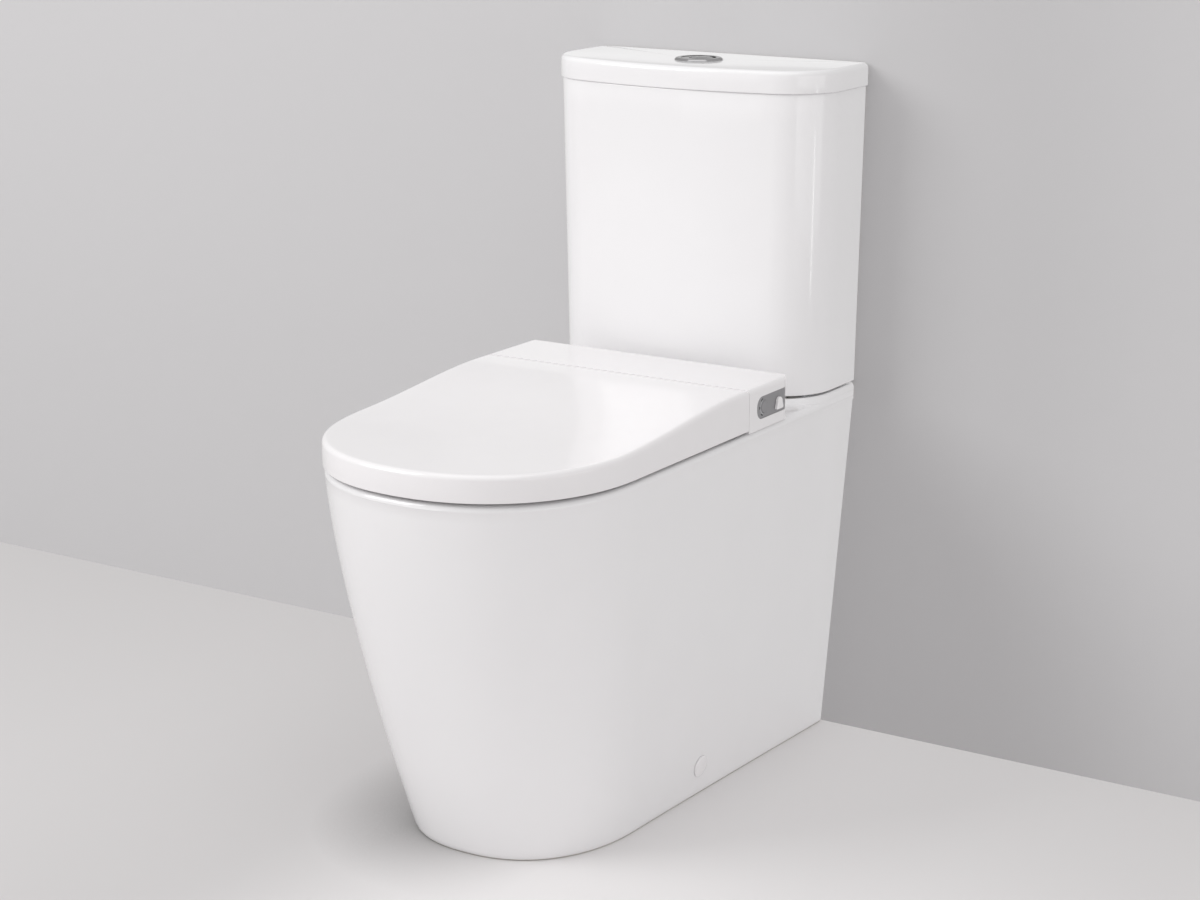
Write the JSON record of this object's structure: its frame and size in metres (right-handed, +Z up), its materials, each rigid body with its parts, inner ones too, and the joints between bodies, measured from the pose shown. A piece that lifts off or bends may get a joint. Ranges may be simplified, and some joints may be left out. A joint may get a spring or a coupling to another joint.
{
  "type": "close coupled bidet toilet",
  "caption": "Back to wall china toilet with a cistern, dual flush button and an electronic bidet seat whose lid, seat, wash nozzles and valves move.",
  "frame": {"origin": "floor level, at the middle of the part's width and depth", "axes": "-Y out of the front of the bowl, +Y to the wall, +Z up, +X on the side with the control panel"},
  "size_m": [0.385, 0.714, 0.8569],
  "materials": {
    "china": "white glazed vitreous china, glossy",
    "seat_plastic": "glossy white, faintly warm",
    "inner_plastic": "satin white moulding",
    "blue_plastic": "satin blue moulding",
    "grey_plastic": "satin mid grey",
    "dark_plastic": "satin black",
    "chrome": "bright chrome plate",
    "steel": "zinc plated or stainless",
    "rubber": "matt black",
    "soft_grey": "matt pale grey",
    "board": "green board with parts"
  },
  "bodies": {
    "base": {"pan": "china", "bowl_and_trap": "china", "side_fixing_caps": "seat_plastic", "side_fixing_screws": "steel", "floor_brackets": "steel", "cistern_tank": "china", "coupling_gasket": "rubber", "coupling_bolts": "steel", "bolt_washers": "rubber", "wing_nuts": "steel", "cistern_pads": "rubber", "flush_valve_body": "inner_plastic", "flush_valve_nut": "inner_plastic", "flush_valve_washer": "rubber", "inlet_valve_body": "inner_plastic", "inlet_valve_nut": "inner_plastic", "inlet_valve_washer": "rubber", "mounting_plate": "inner_plastic", "plate_bolts": "steel", "plate_nuts": "inner_plastic", "seat_base": "inner_plastic", "rear_housing": "seat_plastic", "side_panel": "grey_plastic", "hinge_pins": "steel", "nozzle_bay": "seat_plastic", "fan_housing": "inner_plastic", "heater_tank": "steel", "valve_block": "blue_plastic", "circuit_board": "board", "water_inlet": "steel", "cable_gland": "dark_plastic"},
    "cistern_cover": {"cistern_lid": "china", "button_ring": "chrome", "button_nut": "inner_plastic", "full_button_spring": "steel", "half_button_spring": "steel"},
    "full_button": {"full_flush_button": "chrome"},
    "half_button": {"half_flush_button": "chrome"},
    "full_rod": {"full_push_rod": "inner_plastic"},
    "half_rod": {"half_push_rod": "inner_plastic"},
    "valve": {"overflow_tube": "blue_plastic", "valve_seal": "rubber"},
    "float": {"float_cup": "blue_plastic"},
    "lid": {"seat_lid": "seat_plastic", "lid_bumpers": "soft_grey"},
    "seat": {"seat_ring": "seat_plastic", "seat_bumpers": "soft_grey"},
    "knob": {"side_knob": "seat_plastic"},
    "round_button": {"panel_button": "grey_plastic"},
    "rear_wand": {"rear_nozzle": "inner_plastic"},
    "front_wand": {"front_nozzle": "inner_plastic"},
    "flap": {"dryer_flap": "seat_plastic"},
    "rotor": {"fan_rotor": "dark_plastic"}
  },
  "joints": [
    {"name": "cistern_lid_lift", "type": "slide", "parent": "base", "child": "cistern_cover", "axis": [0, 0, 1], "range_m": [0, 0.15]},
    {"name": "full_flush_press", "type": "slide", "parent": "cistern_cover", "child": "full_button", "axis": [0, 0, -1], "range_m": [0, 0.008], "stiffness_N_per_m": 400, "deforming": ["full_button_spring"]},
    {"name": "half_flush_press", "type": "slide", "parent": "cistern_cover", "child": "half_button", "axis": [0, 0, -1], "range_m": [0, 0.008], "stiffness_N_per_m": 300, "deforming": ["half_button_spring"]},
    {"name": "full_rod_slide", "type": "slide", "parent": "base", "child": "full_rod", "axis": [0, 0, -1], "range_m": [0, 0.0081]},
    {"name": "half_rod_slide", "type": "slide", "parent": "base", "child": "half_rod", "axis": [0, 0, -1], "range_m": [0, 0.0081]},
    {"name": "flush_valve_lift", "type": "slide", "parent": "base", "child": "valve", "axis": [0, 0, 1], "range_m": [0, 0.0201]},
    {"name": "float_drop", "type": "slide", "parent": "base", "child": "float", "axis": [0, 0, -1], "range_m": [0, 0.1]},
    {"name": "lid_hinge", "type": "hinge", "parent": "base", "child": "lid", "pos_m": [0, 0.072, 0.4925], "axis": [-1, 0, 0], "range_deg": [0, 103]},
    {"name": "seat_hinge", "type": "hinge", "parent": "base", "child": "seat", "pos_m": [0, 0.072, 0.4925], "axis": [-1, 0, 0], "range_deg": [0, 97.1]},
    {"name": "knob_turn", "type": "hinge", "parent": "base", "child": "knob", "pos_m": [0.1844, 0.154, 0.4695], "axis": [1, 0, 0], "range_deg": [-30, 30]},
    {"name": "panel_button_press", "type": "slide", "parent": "base", "child": "round_button", "axis": [-1, 0, 0], "range_m": [0, 0.001], "stiffness_N_per_m": 300},
    {"name": "rear_nozzle_slide", "type": "slide", "parent": "base", "child": "rear_wand", "axis": [0, -0.9903, -0.1392], "range_m": [0, 0.088]},
    {"name": "front_nozzle_slide", "type": "slide", "parent": "base", "child": "front_wand", "axis": [0, -0.9903, -0.1392], "range_m": [0, 0.088]},
    {"name": "dryer_flap_hinge", "type": "hinge", "parent": "base", "child": "flap", "pos_m": [0.036, 0.0048, 0.463], "axis": [-1, 0, 0], "range_deg": [0, 60]},
    {"name": "fan_spin", "type": "hinge", "parent": "base", "child": "rotor", "pos_m": [0.096, 0.139, 0.47], "axis": [0, 0, 1], "continuous": true}
  ],
  "couplings": [
    {"joint": "seat_hinge", "follows": "lid_hinge", "ratio": 0.94175},
    {"joint": "full_rod_slide", "follows": "full_flush_press", "ratio": 1},
    {"joint": "half_rod_slide", "follows": "half_flush_press", "ratio": 1},
    {"joint": "flush_valve_lift", "follows": "full_flush_press", "ratio": 2.5}
  ]
}
